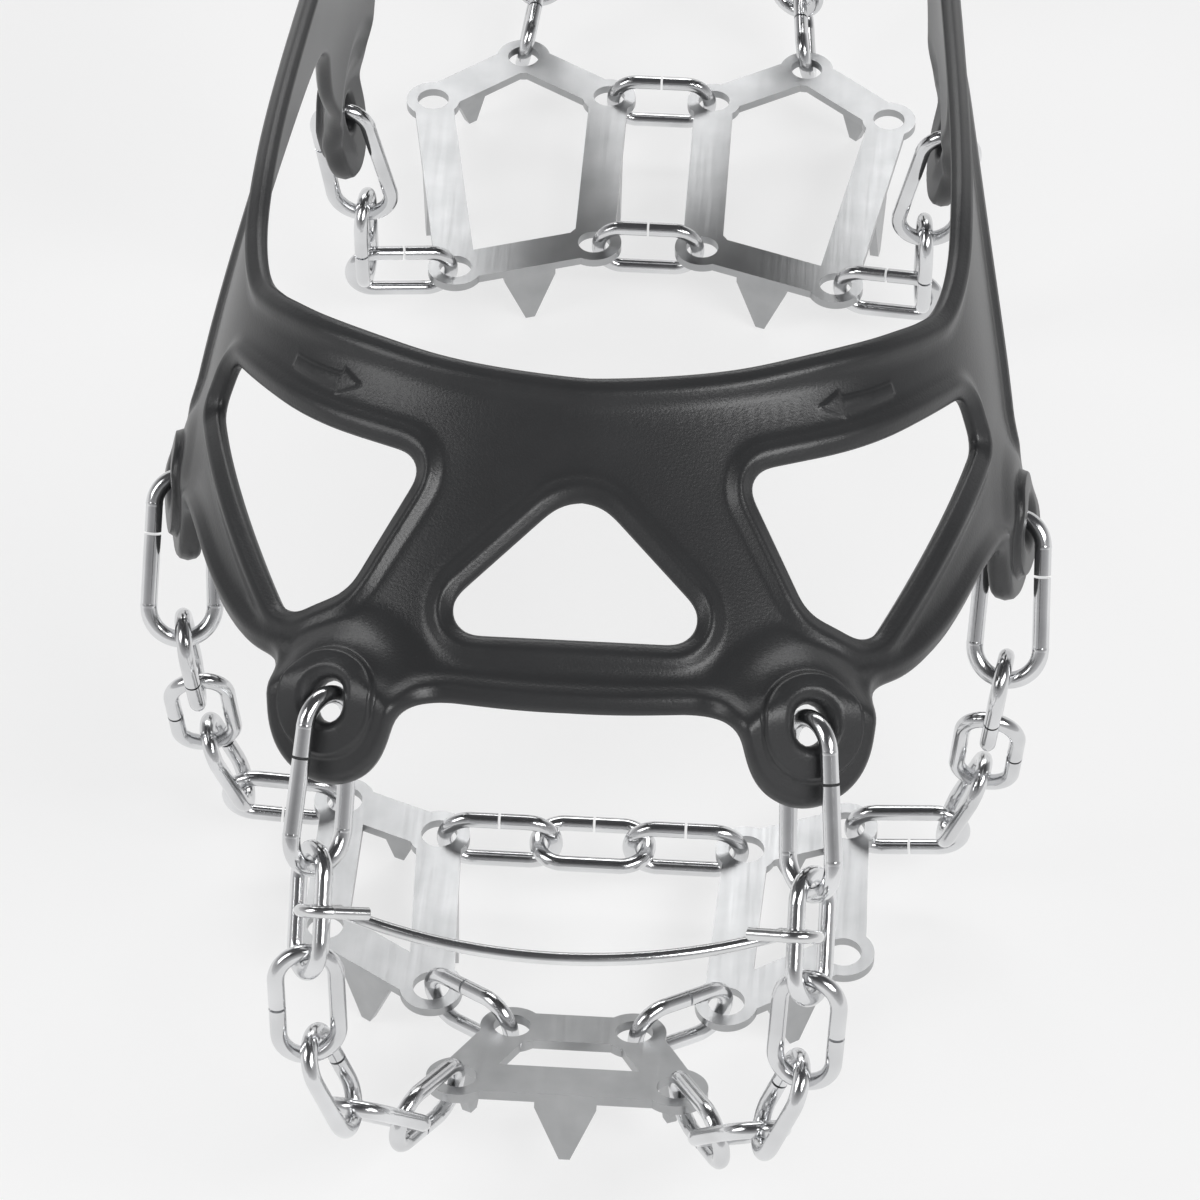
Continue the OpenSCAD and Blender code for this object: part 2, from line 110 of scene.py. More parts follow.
def form(s, v):
    """Point of the boot form at station s round the foot and height row v, in mm."""
    s, v = np.broadcast_arrays(np.asarray(s, float), np.asarray(v, float))
    q = np.abs(s)
    over = q > 8
    q = np.where(over, 16 - q, q)
    i = np.clip(np.floor(q).astype(int), 0, 7)
    j = np.clip(np.floor(v).astype(int), 0, 6)
    a, b = basis(q - i), basis(v - j)
    p = 0
    for m in range(4):
        for n in range(4):
            p = p + (b[m] * a[n])[..., None] * NET[j + m, i + n]
    flip = np.where((s < 0) ^ over, -1.0, 1.0)
    p[..., 0] = p[..., 0] * flip
    return p


def normal(s, v):
    e = 0.01
    n = np.cross(form(s + e, v) - form(s - e, v), form(s, v + e) - form(s, v - e))
    return n / np.linalg.norm(n, axis=-1, keepdims=True)


def unit(v):
    v = np.asarray(v, float)
    return v / np.linalg.norm(v)


# ---------------------------------------------------------------- outline of the harness, right half
def smooth_line(points):
    """Catmull-Rom through (s, v) points, as arrays for lookup by s."""
    p = np.array(points, float)
    p = np.vstack([2 * p[0] - p[1], p, 2 * p[-1] - p[-2]])
    out = []
    for k in range(1, len(p) - 2):
        for t in np.linspace(0, 1, 12, endpoint=False):
            out.append(0.5 * (2 * p[k] + (p[k + 1] - p[k - 1]) * t
                              + (2 * p[k - 1] - 5 * p[k] + 4 * p[k + 1] - p[k + 2]) * t * t
                              + (3 * p[k] - 3 * p[k + 1] + p[k + 2] - p[k - 1]) * t ** 3))
    out.append(p[-2])
    return np.array(out)


# upper and lower edge of the web; s runs from 0 at the toe to 8 at the heel, v is the height row
TOP = smooth_line([
    (0, 5.59), (0.5, 5.6), (1, 5.6), (1.5, 5.59), (1.9, 5.55), (2.3, 5.47), (2.6, 5.38), (2.85, 5.31), (3.2, 5.33),
    (3.6, 5.42), (4.2, 5.42), (5, 5.3), (6, 5.2), (7, 5.2), (7.42, 5.28), (7.6, 5.55), (7.76, 5.77), (8, 5.8)])
LOW = smooth_line([
    (0, 4.17), (0.5, 4.165), (0.9, 4.15), (1.15, 4.18), (1.5, 4.14), (1.75, 3.98), (2.05, 3.84), (2.35, 3.76),
    (2.8, 3.67), (3.1, 3.47), (3.3, 3.36), (3.62, 3.36), (3.8, 3.7), (4, 4.02), (4.3, 4.26), (4.75, 4.2),
    (5.02, 3.6), (5.16, 2.6), (5.32, 1.98), (5.5, 1.92), (5.68, 1.98), (5.84, 2.6), (6.05, 3.2), (6.4, 3.55),
    (6.75, 3.2), (6.95, 2.5), (7.1, 1.98), (7.35, 1.92), (7.6, 1.98), (7.78, 2.55), (7.9, 2.8), (8, 2.88)])

STAND_OFF = 5.6  # height of the heel eyelet holes over the form
WEB_MID = 2.0  # height of the middle of the web over the form
BOSS_FILLET = 9.0  # how softly a boss runs into the edge of the web
BOSS_T, BOSS_R, DISC_R, DISC_STEP, EYE_R = 4.2, 9.2, 7.2, 0.8, 2.7
BOSS_DROP, DISC_DROP = 3.0, 1.6


def eye(s, v, d):
    n = normal(s, v)
    return form(s, v) + n * STAND_OFF, unit(np.array(d) - n * np.dot(d, n)), n


EYES = [
    (np.array([32.6, -106.2, 74.2]), unit([0.061, -0.579, -0.813]), unit([0.41, -0.73, 0.55])),
    (np.array([61, -46, 56.5]), unit([-0.01, -0.566, -0.824]), unit([0.975, -0.2, 0.1])),
    eye(5.5, 1.6, [-0.01, 0.1, -0.99]),
    eye(7.35, 1.6, [0, -0.04, -1]),
]
EYE_LEVEL = [5.6, 3.3, 5.6, 5.6]  # height of each hole over the form


def rounded(p, n=6):
    out = []
    for i in range(len(p)):
        c, r = np.array(p[i][:2], float), p[i][2]
        a, b = np.array(p[i - 1][:2]), np.array(p[(i + 1) % len(p)][:2])
        ua, ub = unit(a - c), unit(b - c)
        half = math.acos(float(ua @ ub)) / 2
        mid = c + unit(ua + ub) * r / math.sin(half)
        t0, t1 = c + ua * r / math.tan(half) - mid, c + ub * r / math.tan(half) - mid
        g0 = math.atan2(t0[1], t0[0])
        d = (math.atan2(t1[1], t1[0]) - g0 + 3 * math.pi) % (2 * math.pi) - math.pi
        out += [mid + r * np.array([math.cos(g0 + d * k / n), math.sin(g0 + d * k / n)]) for k in range(n + 1)]
    return np.array(out)


def turn_x(a):
    c, s = math.cos(math.radians(a)), math.sin(math.radians(a))
    return np.array([[1, 0, 0], [0, c, -s], [0, s, c]])


def turn_z(a):
    c, s = math.cos(math.radians(a)), math.sin(math.radians(a))
    return np.array([[c, -s, 0], [s, c, 0], [0, 0, 1]])


WINDOWS = [  # outline, frame of the cut, least and greatest depth along it
    (rounded([[-21.8, -22.6, 3.5], [21.8, -22.6, 3.5], [0, -1, 6.5]]), turn_x(44), np.array([0, 0, 10.0]), 60, 180),
    (rounded([[-41.5, 15.2, 3.5], [-24, 9.1, 75], [-0.8, 6.1, 2.5], [-1.4, -1.3, 2.5], [-41, -13.4, 4], [-46.2, -5, 6]]),
     turn_z(48) @ turn_x(48), np.array([0, 0, 10.0]), 40, 130),
    (rounded([[-8, 85, 2], [8, 85, 2], [8, 91, 2], [-8, 91, 2]]),
     np.array([[1, 0, 0], [0, 0, -1], [0, 1, 0]], float), np.array([0, 165.0, 0]), 0, 40),
]


def polygon_distance(x, y, poly):
    """Signed distance to a closed polygon, negative inside."""
    best = np.full(x.shape, 1e9)
    inside = np.zeros(x.shape, bool)
    for a, b in zip(poly, np.roll(poly, -1, axis=0)):
        e = b - a
        if e @ e < 1e-12:
            continue
        t = np.clip(((x - a[0]) * e[0] + (y - a[1]) * e[1]) / (e @ e), 0, 1)
        best = np.minimum(best, np.hypot(x - a[0] - t * e[0], y - a[1] - t * e[1]))
        cross = (a[1] > y) != (b[1] > y)
        if abs(e[1]) > 1e-12:
            inside ^= cross & (x < a[0] + (y - a[1]) * e[0] / e[1])
    return np.where(inside, -best, best)


def smooth_step(x, a, b):
    t = np.clip((x - a) / (b - a), 0, 1)
    return t * t * (3 - 2 * t)


class Field:
    """Everything known about points (s, v) of the right half of the harness."""

    def __init__(self, s, v):
        self.s, self.v = s, v
        self.f, self.n = form(s, v), normal(s, v)
        self.up = np.zeros(s.shape)
        self.boss_r = np.full(s.shape, 99.0)
        self.disc_r = np.full(s.shape, 99.0)
        self.slot_r = np.full(s.shape, 99.0)
        self.plane = np.zeros(s.shape)
        self.per_k = np.ones(s.shape)
        for (centre, hang, face), level in zip(EYES, EYE_LEVEL):
            nf = self.n @ face
            ok = (nf > 0.5) & (np.linalg.norm(self.f - centre, axis=-1) < 40)
            h = np.where(ok, -((self.f - centre) @ face) / np.where(ok, nf, 1), 0)
            x = self.f + self.n * h[..., None] - centre
            down = x @ hang

            def ring(low, high):
                along = np.clip(down, low, high)
                return np.where(ok, np.linalg.norm(x - along[..., None] * hang, axis=-1), 99)

            r, disc, slot = ring(0, BOSS_DROP), ring(0, DISC_DROP), ring(-0.2, 1.3)
            near = r < self.boss_r
            self.boss_r = np.where(near, r, self.boss_r)
            self.disc_r = np.where(near, disc, self.disc_r)
            up = smooth_step(-down, -2.0, 5.0)
            self.up = np.where(near, up, self.up)
            self.slot_r = np.where(near, slot, self.slot_r)
            # above its hole the boss leans back until it runs along the web
            self.plane = np.where(near, h + (level - h) * up, self.plane)
            self.per_k = np.where(near, 1 / np.where(ok, nf, 1), self.per_k)
        self.boss_w = 1 - smooth_step(self.boss_r, 8.6 - 4.6 * self.up, 17.0)
        self.thick_w = 1 - smooth_step(self.boss_r, 8.4, 12.5)
        self.mid = (1 - self.boss_w) * WEB_MID + self.boss_w * self.plane
        self.p = self.f + self.n * self.mid[..., None]

    def outline(self):
        """Negative on the harness; near zero it is about a distance in mm."""
        scale_v = np.linalg.norm(form(self.s, self.v + 0.02) - form(self.s, self.v - 0.02), axis=-1) / 0.04
        scale_s = np.linalg.norm(form(self.s + 0.02, self.v) - form(self.s - 0.02, self.v), axis=-1) / 0.04

        def line(table):
            y = np.interp(self.s, table[:, 0], table[:, 1])
            ahead = np.interp(self.s + 0.03, table[:, 0], table[:, 1])
            behind = np.interp(self.s - 0.03, table[:, 0], table[:, 1])
            slope = (ahead - behind) / 0.06
            run = np.hypot(1, slope * scale_v / scale_s)
            return (self.v - y) * scale_v / run

        g = np.maximum(-line(LOW), line(TOP))
        b = self.boss_r - BOSS_R
        m = np.clip(0.5 + 0.5 * (b - g) / BOSS_FILLET, 0, 1)
        g = b * (1 - m) + g * m - BOSS_FILLET * m * (1 - m)
        for poly, rot, shift, least, most in WINDOWS:
            q = (self.p - shift) @ rot
            reach = (q[..., 2] > least) & (q[..., 2] < most)
            g = np.maximum(g, np.where(reach, -polygon_distance(q[..., 0], q[..., 1], poly), -99))
        return np.maximum(g, 2.3 - self.slot_r)


# ---------------------------------------------------------------- contour lines on a grid
GS = np.linspace(0, 8, 561)
GV = np.linspace(0.6, 6.1, 221)
SG, VG = np.meshgrid(GS, GV, indexing="ij")


def contours(values, level, gx, gy):
    """Lines where values = level on the grid gx by gy; closed ones repeat their first point."""
    z = values - level
    z = np.where(z == 0, 1e-9, z)
    neg = z < 0
    step_x, step_y = gx[1] - gx[0], gy[1] - gy[0]
    links = {}

    def cut(kind, i, j):
        a = z[i, j]
        b = z[i + 1, j] if kind == 0 else z[i, j + 1]
        t = a / (a - b)
        return (gx[i] + t * step_x, gy[j]) if kind == 0 else (gx[i], gy[j] + t * step_y)

    corner = neg[:-1, :-1]
    mixed = (corner != neg[1:, :-1]) | (corner != neg[:-1, 1:]) | (corner != neg[1:, 1:])
    for i, j in np.argwhere(mixed):
        i, j = int(i), int(j)
        c = [neg[i, j], neg[i + 1, j], neg[i + 1, j + 1], neg[i, j + 1]]
        e = [(0, i, j), (1, i + 1, j), (0, i, j + 1), (1, i, j)]
        cross = [k for k in range(4) if c[k] != c[(k + 1) % 4]]
        if len(cross) == 2:
            pairs = [cross]
        elif c[0] == (z[i:i + 2, j:j + 2].mean() < 0):
            pairs = [[0, 1], [2, 3]]
        else:
            pairs = [[0, 3], [1, 2]]
        for a, b in pairs:
            links.setdefault(e[a], []).append(e[b])
            links.setdefault(e[b], []).append(e[a])
    lines, used = [], set()
    for start in [k for k in links if len(links[k]) == 1] + list(links):
        if start in used:
            continue
        chain, at = [start], start
        used.add(start)
        while True:
            nxt = [k for k in links[at] if k not in used]
            if not nxt:
                break
            at = nxt[0]
            used.add(at)
            chain.append(at)
        pts = np.array([cut(*k) for k in chain])
        if len(chain) > 3 and chain[0] in links[chain[-1]]:
            pts = np.vstack([pts, pts[:1]])
        lines.append(pts)
    return lines


def place(pts):
    """Points in mm on the middle of the web."""
    return Field(pts[:, 0], pts[:, 1]).p


def resample(pts, spacing):
    """Even spacing in mm along the surface."""
    d = np.r_[0, np.cumsum(np.linalg.norm(np.diff(place(pts), axis=0), axis=1))]
    if d[-1] < 2 * spacing:
        return None
    n = max(4, int(round(d[-1] / spacing)))
    t = np.linspace(0, d[-1], n + 1)
    return np.stack([np.interp(t, d, pts[:, 0]), np.interp(t, d, pts[:, 1])], axis=1)


def is_closed(line):
    return np.allclose(line[0], line[-1])


def relax(pts, rounds):
    """Rounds off a line; the ends of an open one stay."""
    closed = is_closed(pts)
    for _ in range(rounds):
        q = pts.copy()
        if closed:
            r = pts[:-1]
            m = (np.roll(r, 1, 0) + 2 * r + np.roll(r, -1, 0)) / 4
            q = np.vstack([m, m[:1]])
        else:
            q[1:-1] = (pts[:-2] + 2 * pts[1:-1] + pts[2:]) / 4
        pts = q
    return pts


def lines_at(values, level, spacing):
    """Contour lines on the harness, evenly spaced, without the tiny ones."""
    lines = [resample(c, spacing) for c in contours(values, level, GS, GV)]
    return [p for p in lines if p is not None]


GRID = Field(SG, VG)
GRID_OUT = GRID.outline()
EDGES = [relax(p, 3) for p in lines_at(GRID_OUT, 0, 0.35)]
EDGE_PTS = np.vstack([place(resample(e, 0.12)) for e in EDGES])
EDGE_PTS = np.vstack([EDGE_PTS, EDGE_PTS[np.abs(EDGE_PTS[:, 0]) < 20] * [-1, 1, 1]])
TREE = kdtree.KDTree(len(EDGE_PTS))
for k, q in enumerate(EDGE_PTS):
    TREE.insert(q, k)
TREE.balance()


def edge_distance(p):
    """Distance in mm from the nearest edge of the harness, in space."""
    return np.array([TREE.find(q)[2] for q in p.reshape(-1, 3)]).reshape(p.shape[:-1])


DIST = edge_distance(GRID.p) * np.where(GRID_OUT < 0, 1, -1)


def soften(z, rounds):
    """Small blur of grid values, mirrored at the toe and heel."""
    for _ in range(rounds):
        z = np.concatenate([z[2:0:-1], z, z[-2:-4:-1]], axis=0)
        z = (z[:-4] + 4 * z[1:-3] + 6 * z[2:-2] + 4 * z[3:-1] + z[4:]) / 16
        z = np.pad(z, ((0, 0), (2, 2)), mode="edge")
        z = (z[:, :-4] + 4 * z[:, 1:-3] + 6 * z[:, 2:-2] + 4 * z[:, 3:-1] + z[:, 4:]) / 16
    return z


def sample(z, s, v):
    """Grid values at (s, v), smooth between the grid points."""
    z = np.concatenate([z[1:2], z, z[-2:-4:-1]], axis=0)
    z = np.pad(z, ((0, 0), (1, 2)), mode="edge")
    s = np.abs(s)
    s = np.where(s > 8, 16 - s, s)
    x = np.clip(s / (GS[1] - GS[0]), 0, len(GS) - 1)
    y = np.clip((v - GV[0]) / (GV[1] - GV[0]), 0, len(GV) - 1)
    i, j = np.floor(x).astype(int), np.floor(y).astype(int)
    a, b = basis(x - i), basis(y - j)
    return sum(a[m] * b[n] * z[i + m, j + n] for m in range(4) for n in range(4))


# height of the raised rim along every edge
BEAD = soften(smooth_step(DIST, 0.6, 1.8) * 1.4 - smooth_step(DIST, 2.0, 4.0) * 1.35, 1)

# ---------------------------------------------------------------- raised arrows
ARROW_AT, ARROW_TO = (2.24, 5.225), (1.6, 5.345)


class Arrow:
    """Plain raised arrow on the band, drawn in mm in the tangent plane at its middle."""

    def __init__(self, tail, tip):
        a, b = np.array(tail), np.array(tip)
        mid, e = (a + b) / 2, 0.01
        ds = (form(mid[0] + e, mid[1]) - form(mid[0] - e, mid[1])) / (2 * e)
        dv = (form(mid[0], mid[1] + e) - form(mid[0], mid[1] - e)) / (2 * e)
        jac = np.stack([ds, dv], axis=1)
        ax = jac @ (b - a)
        length = np.linalg.norm(ax)
        ax = ax / length
        self.to_mm = np.stack([ax, np.cross(normal(mid[0], mid[1]), ax)]) @ jac
        self.to_sv = np.linalg.inv(self.to_mm)
        self.start = a
        head = length - 4.2
        self.shape = np.array([
            (0, -1.2), (head, -1.2), (head, -2.2), (length, 0), (head, 2.2), (head, 1.2), (0, 1.2)])

    def depth(self, s, v):
        """Distance inside the outline in mm, negative outside."""
        q = np.stack([s - self.start[0], v - self.start[1]], axis=-1) @ self.to_mm.T
        return -polygon_distance(q[..., 0], q[..., 1], self.shape)

    def lines(self):
        """The outline and three lines along it, as closed (s, v) arrays."""
        x, y = np.meshgrid(np.arange(-1.5, 22, 0.08), np.arange(-3.6, 3.6, 0.08), indexing="ij")
        z = -polygon_distance(x, y, self.shape)
        out = []
        for level in (-0.25, 0.0, 0.3, 0.6):
            p = trace(z - level, x[:, 0], y[0])
            out.append(self.start + p @ self.to_sv.T)
        return out


def trace(z, gx, gy):
    """The one closed line where z is zero, sampled about every 0.5 mm."""
    line = relax(max(contours(z, 0, gx, gy), key=len), 1)
    d = np.r_[0, np.cumsum(np.linalg.norm(np.diff(line, axis=0), axis=1))]
    t = np.linspace(0, d[-1], int(d[-1] / 0.5) + 1)
    return np.stack([np.interp(t, d, line[:, 0]), np.interp(t, d, line[:, 1])], axis=1)


ARROW = Arrow(ARROW_AT, ARROW_TO)


# ---------------------------------------------------------------- harness mesh
OUT_ROUND, IN_ROUND = 1.5, 1.6  # how far the two faces of a boss round off at its edge


def heights(fld, dist, raised):
    """Outer and inner height over the form for points at dist mm from the nearest edge."""
    d = np.maximum(dist, 0)
    ledge = 1.5 + 0.4 * (1 - (1 - np.clip(d / 0.5, 0, 1)) ** 2)
    outer = 0.8 + ledge + sample(BEAD, fld.s, fld.v)
    inner = 0.8 + 1.3 * (1 - np.sqrt(1 - (1 - np.clip(d / 0.9, 0, 1)) ** 2))
    drop = 1 - np.sqrt(1 - (1 - np.clip(d / 1.3, 0, 1)) ** 2)
    disc = 1 - smooth_step(fld.disc_r, DISC_R - 0.5, DISC_R + 0.1)
    recess = 1 - smooth_step(fld.slot_r, 2.4, 4.2)
    k_out = BOSS_T / 2 - DISC_STEP + 1.25 * DISC_STEP * disc - OUT_ROUND * drop - 0.7 * recess
    k_in = -BOSS_T / 2 + IN_ROUND * drop
    m = fld.thick_w
    middle = fld.mid
    tilt = 1 + fld.boss_w * (fld.per_k - 1)
    outer = middle + (1 - m) * (outer - WEB_MID) + m * k_out * tilt + 0.35 * raised
    inner = middle + (1 - m) * (inner - WEB_MID) + m * k_in * tilt
    flat = (IN_ROUND - OUT_ROUND - DISC_STEP) / 2
    rim = middle + (1 - m) * 0.25 + m * flat * tilt
    outer, inner = np.where(d <= 0, rim, outer), np.where(d <= 0, rim, inner)
    return outer, inner


MM_S, MM_V = 34.0, 15.0  # about how many mm one s and one v are, for well shaped triangles
RINGS = (0.3, 0.8, 1.4, 2.0, 2.7, 3.5, 4.3, 5.2)  # mm from the nearest edge
DISC_RINGS = (-0.8, -0.5, -0.2, 0.1, 0.4)  # mm from the edge of a raised disc


class Plan:
    """Points (s, v) and the segments between them that the triangles have to follow."""

    def __init__(self):
        self.pts, self.segs = [], []

    def add_line(self, p):
        closed = is_closed(p)
        start = len(self.pts)
        self.pts.extend([tuple(q) for q in (p[:-1] if closed else p)])
        n = len(self.pts) - start
        self.segs.extend([(start + i, start + i + 1) for i in range(n - 1)])
        if closed:
            self.segs.append((start + n - 1, start))


def to_seam(p):
    """Puts the ends of an open line on the middle plane, at the toe or the heel."""
    if not is_closed(p):
        for k in (0, -1):
            p[k, 0] = 0 if p[k, 0] < 4 else 8
    return p


def filling():
    """Points away from the edges, denser round the bosses."""
    out = []
    for step, near in ((1.5, False), (0.8, True)):
        for i, s in enumerate(np.arange(0, 8.0001, step / 36)):
            s = min(s, 8.0)
            for v in np.arange(GV[0] + (i % 2) * step / 30, GV[-1], step / 15.0):
                a = int(round(s / 8 * (len(GS) - 1)))
                b = int(np.clip(round((v - GV[0]) / (GV[-1] - GV[0]) * (len(GV) - 1)), 0, len(GV) - 1))
                if near:
                    if DIST[a, b] > 1.0 and GRID.boss_r[a, b] < 19 and GRID.slot_r[a, b] > 3.4:
                        out.append((s, v))
                elif DIST[a, b] > 5.6 and GRID.boss_r[a, b] >= 19:
                    out.append((s, v))
    return out


def skins(fld, dist):
    """Points of the outer and the inner face in mm."""
    outer, inner = heights(fld, dist, smooth_step(ARROW.depth(fld.s, fld.v), -0.05, 0.5))
    return fld.f + fld.n * outer[:, None], fld.f + fld.n * inner[:, None]


def skin_normals(sv):
    """Normals of both faces from the height field itself, so that the shading doesn't show the triangles."""
    e = 0.006
    step = []
    for ds, dv in ((e, 0), (0, 2 * e)):
        hi, lo = Field(sv[:, 0] + ds, sv[:, 1] + dv), Field(sv[:, 0] - ds, sv[:, 1] - dv)
        a = skins(hi, np.maximum(sample(DIST, hi.s, hi.v), 0.02))
        b = skins(lo, np.maximum(sample(DIST, lo.s, lo.v), 0.02))
        step.append((a[0] - b[0], a[1] - b[1]))
    n_out = np.cross(step[0][0], step[1][0])
    n_in = -np.cross(step[0][1], step[1][1])
    n_out /= np.linalg.norm(n_out, axis=1, keepdims=True)
    n_in /= np.linalg.norm(n_in, axis=1, keepdims=True)
    return n_out, n_in


def on_harness(points, outlines):
    """Whether each point lies between the outlines, counted by the lines above it."""
    good = np.zeros(len(points), bool)
    for line in outlines:
        for a, b in zip(line[:-1], line[1:]):
            if a[0] != b[0]:
                over = a[1] + (points[:, 0] - a[0]) * (b[1] - a[1]) / (b[0] - a[0]) > points[:, 1]
                good ^= ((a[0] > points[:, 0]) != (b[0] > points[:, 0])) & over
    return good


def build_harness():
    """Both faces of the right half, closed round every edge, and their mirror image."""
    plan = Plan()
    outlines = [to_seam(relax(resample(e, 0.6), 1)) for e in EDGES]
    for p in outlines:
        plan.add_line(p)
    edge_count = len(plan.pts)
    for level in RINGS:
        for p in lines_at(-DIST, -level, 0.85 if level < 3 else 1.1):
            plan.add_line(to_seam(p))
    for level in DISC_RINGS:
        for p in lines_at(np.where(DIST > 0.3, GRID.disc_r, 99), DISC_R + level, 0.9):
            plan.add_line(p)
    for p in ARROW.lines():
        plan.add_line(p)
    plan.pts.extend(filling())
    flat = [Vector((p[0] * MM_S, p[1] * MM_V)) for p in plan.pts]
    verts, _, faces, origins, _, _ = delaunay_2d_cdt(flat, plan.segs, [], 0, 1e-4)
    sv = np.array([(q.x / MM_S, q.y / MM_V) for q in verts])
    fld = Field(sv[:, 0], sv[:, 1])
    is_edge = np.array([any(k < edge_count for k in o) for o in origins])
    dist = np.where(is_edge, 0, np.maximum(edge_distance(fld.p), 0.05))
    p_out, p_in = skins(fld, dist)
    n_out, n_in = skin_normals(sv)
    auto = is_edge | (dist < 0.25)  # a zero normal here leaves the shading to Blender
    tri = [f for f in faces if len(f) == 3]
    tri = [f for f, k in zip(tri, on_harness(np.array([sv[list(f)].mean(0) for f in tri]), outlines)) if k]
    used = sorted(set(i for f in tri for i in f))
    co, nor, out_id, in_id = [], [], {}, {}
    for side in (1, -1):
        for i in used:
            seam = abs(sv[i, 0]) < 1e-5 or abs(sv[i, 0] - 8) < 1e-5
            if side == -1 and seam:
                out_id[(i, -1)], in_id[(i, -1)] = out_id[(i, 1)], in_id[(i, 1)]
                continue
            x = np.array([0.0 if seam else 1.0, 1, 1]) * [side, 1, 1]
            out_id[(i, side)] = len(co)
            co.append(p_out[i] * x)
            nor.append(n_out[i] * x * (0 if auto[i] else 1))
            if is_edge[i]:
                in_id[(i, side)] = out_id[(i, side)]
            else:
                in_id[(i, side)] = len(co)
                co.append(p_in[i] * x)
                nor.append(n_in[i] * x * (0 if auto[i] else 1))
    polys = []
    for side in (1, -1):
        for f in tri:
            a = sv[list(f)]
            area = (a[1, 0] - a[0, 0]) * (a[2, 1] - a[0, 1]) - (a[2, 0] - a[0, 0]) * (a[1, 1] - a[0, 1])
            g = f if (area > 0) == (side == 1) else f[::-1]
            top = [out_id[(i, side)] for i in g]
            low = [in_id[(i, side)] for i in g][::-1]
            polys.append(top)
            if set(top) != set(low):
                polys.append(low)
    me = bpy.data.meshes.new("harness_moulded")
    me.from_pydata([tuple(c / 1000) for c in co], [], polys)
    me.shade_smooth()
    me.normals_split_custom_set_from_vertices([tuple(q) for q in nor])
    ob = bpy.data.objects.new("harness_moulded", me)
    scene.collection.objects.link(ob)
    return ob


# ---------------------------------------------------------------- materials
def new_material(name):
    m = bpy.data.materials.new(name)
    m.use_nodes = True
    t = m.node_tree
    return m, t, t.nodes["Principled BSDF"]


def node(t, kind, **values):
    n = t.nodes.new(kind)
    for k, v in values.items():
        if k.startswith("in_"):
            n.inputs[k[3:].replace("_", " ")].default_value = v
        else:
            setattr(n, k, v)
    return n


def rubber_material():
    m, t, b = new_material("moulded_rubber")
    co = node(t, "ShaderNodeTexCoord")
    grain = node(t, "ShaderNodeTexNoise", in_Scale=2600.0, in_Detail=2.0, in_Roughness=0.55)
    cloud = node(t, "ShaderNodeTexNoise", in_Scale=55.0, in_Detail=4.0, in_Roughness=0.6)
    smear = node(t, "ShaderNodeTexNoise", in_Scale=14.0, in_Detail=2.0, in_Roughness=0.5)
    for n in (grain, cloud, smear):
        t.links.new(co.outputs["Object"], n.inputs["Vector"])
    ramp = node(t, "ShaderNodeValToRGB")
    ramp.color_ramp.elements[0].position, ramp.color_ramp.elements[1].position = 0.3, 0.75
    ramp.color_ramp.elements[0].color = (0.0255, 0.026, 0.027, 1)
    ramp.color_ramp.elements[1].color = (0.036, 0.0365, 0.038, 1)
    t.links.new(cloud.outputs["Fac"], ramp.inputs["Fac"])
    t.links.new(ramp.outputs["Color"], b.inputs["Base Color"])
    rough = node(t, "ShaderNodeMapRange")
    rough.inputs["To Min"].default_value, rough.inputs["To Max"].default_value = 0.29, 0.40
    t.links.new(smear.outputs["Fac"], rough.inputs["Value"])
    t.links.new(rough.outputs["Result"], b.inputs["Roughness"])
    bump = node(t, "ShaderNodeBump", in_Strength=0.28, in_Distance=0.00012)
    t.links.new(grain.outputs["Fac"], bump.inputs["Height"])
    t.links.new(bump.outputs["Normal"], b.inputs["Normal"])
    b.inputs["Specular IOR Level"].default_value = 0.5
    return m


def wire_material(name, base, rough_low, rough_high, streak):
    m, t, b = new_material(name)
    b.inputs["Metallic"].default_value = 1.0
    co = node(t, "ShaderNodeTexCoord")
    fine = node(t, "ShaderNodeTexNoise", in_Scale=streak, in_Detail=3.0, in_Roughness=0.6)
    broad = node(t, "ShaderNodeTexNoise", in_Scale=90.0, in_Detail=2.0)
    t.links.new(co.outputs["Object"], fine.inputs["Vector"])
    t.links.new(co.outputs["Object"], broad.inputs["Vector"])
    ramp = node(t, "ShaderNodeValToRGB")
    ramp.color_ramp.elements[0].position, ramp.color_ramp.elements[1].position = 0.35, 0.7
    ramp.color_ramp.elements[0].color = tuple(c * 0.82 for c in base) + (1,)
    ramp.color_ramp.elements[1].color = tuple(base) + (1,)
    t.links.new(broad.outputs["Fac"], ramp.inputs["Fac"])
    t.links.new(ramp.outputs["Color"], b.inputs["Base Color"])
    rough = node(t, "ShaderNodeMapRange")
    rough.inputs["To Min"].default_value, rough.inputs["To Max"].default_value = rough_low, rough_high
    t.links.new(fine.outputs["Fac"], rough.inputs["Value"])
    t.links.new(rough.outputs["Result"], b.inputs["Roughness"])
    bump = node(t, "ShaderNodeBump", in_Strength=0.12, in_Distance=0.00008)
    t.links.new(fine.outputs["Fac"], bump.inputs["Height"])
    t.links.new(bump.outputs["Normal"], b.inputs["Normal"])
    return m


